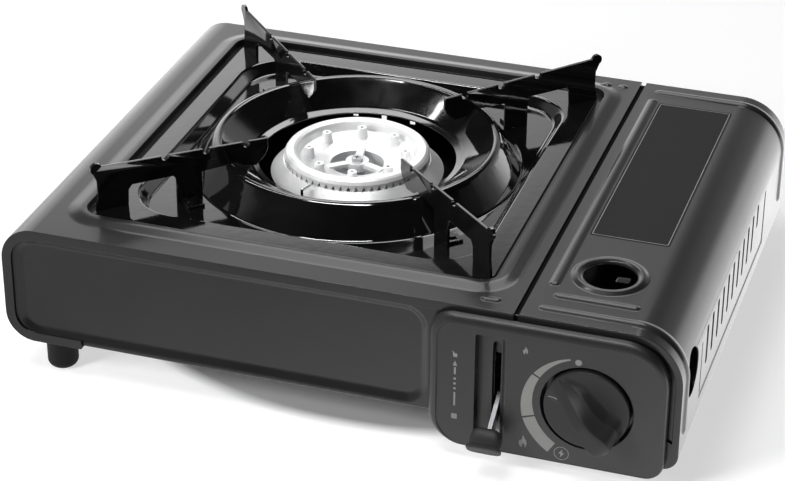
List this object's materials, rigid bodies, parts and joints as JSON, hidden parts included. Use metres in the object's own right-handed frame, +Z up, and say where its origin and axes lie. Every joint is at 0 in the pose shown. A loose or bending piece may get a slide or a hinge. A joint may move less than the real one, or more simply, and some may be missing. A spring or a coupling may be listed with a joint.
{
  "type": "portable butane stove",
  "caption": "Portable tabletop gas stove with a lift-off drip tray, pot supports, ring burner, igniter knob, locking lever and a cartridge bay under a hinged lid.",
  "frame": {"origin": "centre of the stove's footprint, on the table plane under its feet", "axes": "+X towards the cartridge bay (right), +Y towards the rear, +Z up"},
  "size_m": [0.3416, 0.281, 0.105],
  "materials": {
    "shell_paint": "satin charcoal powder coat",
    "tray_enamel": "gloss black enamel",
    "panel_plastic": "fine-grained matte",
    "knob_plastic": "fine-grained matte",
    "zinc_steel": "zinc plated",
    "screw_steel": "plated",
    "foot_rubber": "matte",
    "seal_rubber": "matte",
    "burner_alloy": "cast, machined cap",
    "valve_brass": "turned",
    "pipe_copper": "drawn",
    "valve_zinc": "die cast",
    "cam_plastic": "moulded",
    "igniter_plastic": "moulded",
    "lead_sleeve": "smooth sleeve",
    "insulator_ceramic": "glazed"
  },
  "bodies": {
    "stove": {"housing_shell": "shell_paint", "base_pan": "shell_paint", "bay_partition": "zinc_steel", "bay_pan": "shell_paint", "left_feet": "foot_rubber", "right_feet": "foot_rubber", "feet_screws": "screw_steel", "shell_screws": "screw_steel", "control_panel": "panel_plastic", "panel_screws": "screw_steel", "burner_base": "burner_alloy", "burner_cap": "burner_alloy", "burner_cap_screw": "screw_steel", "burner_stud": "screw_steel", "burner_bracket": "zinc_steel", "bracket_screws": "screw_steel", "mixing_tube": "burner_alloy", "air_shutter": "zinc_steel", "gas_jet": "valve_brass", "gas_pipe": "pipe_copper", "regulator_body": "valve_zinc", "regulator_cover": "valve_zinc", "regulator_cover_screws": "screw_steel", "regulator_mount_screws": "screw_steel", "inlet_seal": "seal_rubber", "guide_pins": "screw_steel", "piezo_igniter": "igniter_plastic", "ignition_lead": "lead_sleeve", "lead_clips": "zinc_steel", "spark_electrode": "screw_steel", "electrode_insulator": "insulator_ceramic", "electrode_bracket": "zinc_steel", "lever_bracket": "zinc_steel", "lever_pivot_pin": "screw_steel", "lid_hinge_pins": "screw_steel"},
    "tray": {"drip_tray": "tray_enamel", "pan_support_fl": "tray_enamel", "pan_support_fr": "tray_enamel", "pan_support_rr": "tray_enamel", "pan_support_rl": "tray_enamel", "support_rivets": "tray_enamel"},
    "knob": {"control_knob": "knob_plastic", "valve_spindle": "valve_brass", "igniter_cam": "cam_plastic"},
    "plunger": {"piezo_plunger": "igniter_plastic"},
    "lever": {"lever_blade": "screw_steel", "lever_drive_pin": "screw_steel", "lever_handle": "knob_plastic"},
    "guide": {"cartridge_guide": "zinc_steel"},
    "lid": {"cartridge_lid": "shell_paint"}
  },
  "joints": [
    {"name": "tray_lift", "type": "slide", "parent": "stove", "child": "tray", "axis": [0, 0, 1], "range_m": [0, 0.06]},
    {"name": "knob_turn", "type": "hinge", "parent": "stove", "child": "knob", "pos_m": [0.1268, -0.1185, 0.039], "axis": [0, -1, 0], "range_deg": [-60, 87]},
    {"name": "plunger_slide", "type": "slide", "parent": "stove", "child": "plunger", "axis": [-1, 0, 0], "range_m": [-0.00205, 0.00297]},
    {"name": "lever_swing", "type": "hinge", "parent": "stove", "child": "lever", "pos_m": [0.0828, -0.0985, 0.04], "axis": [-1, 0, 0], "range_deg": [0, 66]},
    {"name": "guide_slide", "type": "slide", "parent": "stove", "child": "guide", "axis": [0, 1, 0], "range_m": [0, 0.00872]},
    {"name": "lid_hinge", "type": "hinge", "parent": "stove", "child": "lid", "pos_m": [0.1618, 0.011, 0.018], "axis": [0, 1, 0], "range_deg": [0, 90]}
  ],
  "couplings": [
    {"joint": "plunger_slide", "follows": "knob_turn", "m_per_rad": 0.0019488},
    {"joint": "guide_slide", "follows": "lever_swing", "m_per_rad": 0.007565}
  ]
}
